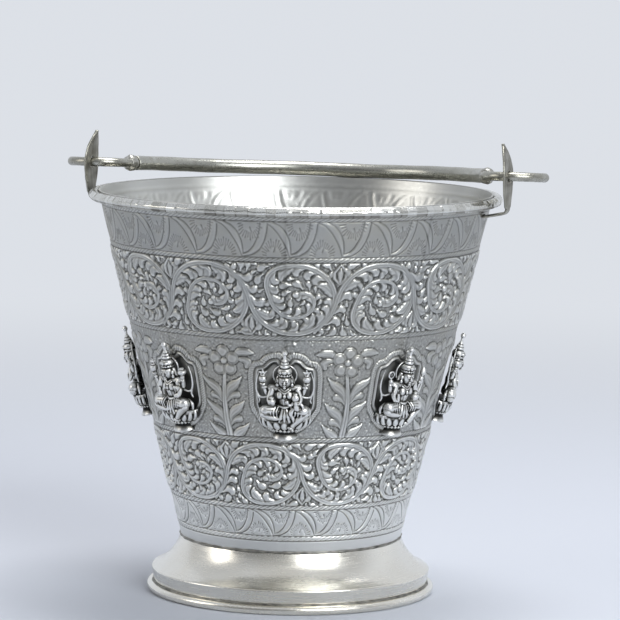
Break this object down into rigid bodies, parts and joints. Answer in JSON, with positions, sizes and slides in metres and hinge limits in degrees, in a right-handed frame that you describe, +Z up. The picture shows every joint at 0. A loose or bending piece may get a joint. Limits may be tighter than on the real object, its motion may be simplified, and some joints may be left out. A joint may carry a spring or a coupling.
{
  "type": "puja bucket",
  "caption": "Conical embossed pail on a trumpet foot, with cast seated figures round its wall and a swinging tubular bail in leaf-shaped ears.",
  "frame": {"origin": "middle of the base ring's underside, where the bucket stands", "axes": "+Z up out of the mouth, X along the bail's hinge line through both ears, -Y towards the front, with the bail at rest on the back of the rim"},
  "size_m": [0.2424, 0.1994, 0.2208],
  "materials": {
    "embossed_sheet": "chased and embossed silver-coloured sheet, dark in its recesses",
    "polished_metal": "polished silver-coloured spinning with fine scratches",
    "cast_metal": "cast silver-coloured metal, dark in its recesses and bright on its high points",
    "drawn_metal": "hammered and drawn silver-coloured rod, tube and sheet",
    "solder": "dull grey solder"
  },
  "bodies": {
    "bucket": {"base_ring": "polished_metal", "foot_skirt": "polished_metal", "bucket_floor": "polished_metal", "body_wall": "embossed_sheet", "rim_bead": "drawn_metal", "ear_left": "drawn_metal", "ear_right": "drawn_metal", "figure_1": "cast_metal", "figure_2": "cast_metal", "figure_3": "cast_metal", "figure_4": "cast_metal", "figure_5": "cast_metal", "figure_6": "cast_metal", "figure_7": "cast_metal", "figure_8": "cast_metal"},
    "handle": {"handle_tube": "drawn_metal", "handle_ring_left": "drawn_metal", "handle_ring_right": "drawn_metal", "tube_solder_left": "solder", "tube_solder_right": "solder"}
  },
  "joints": [
    {"name": "bail_swing", "type": "hinge", "parent": "bucket", "child": "handle", "pos_m": [0, 0, 0.205], "axis": [1, 0, 0], "range_deg": [0, 188.2]}
  ]
}
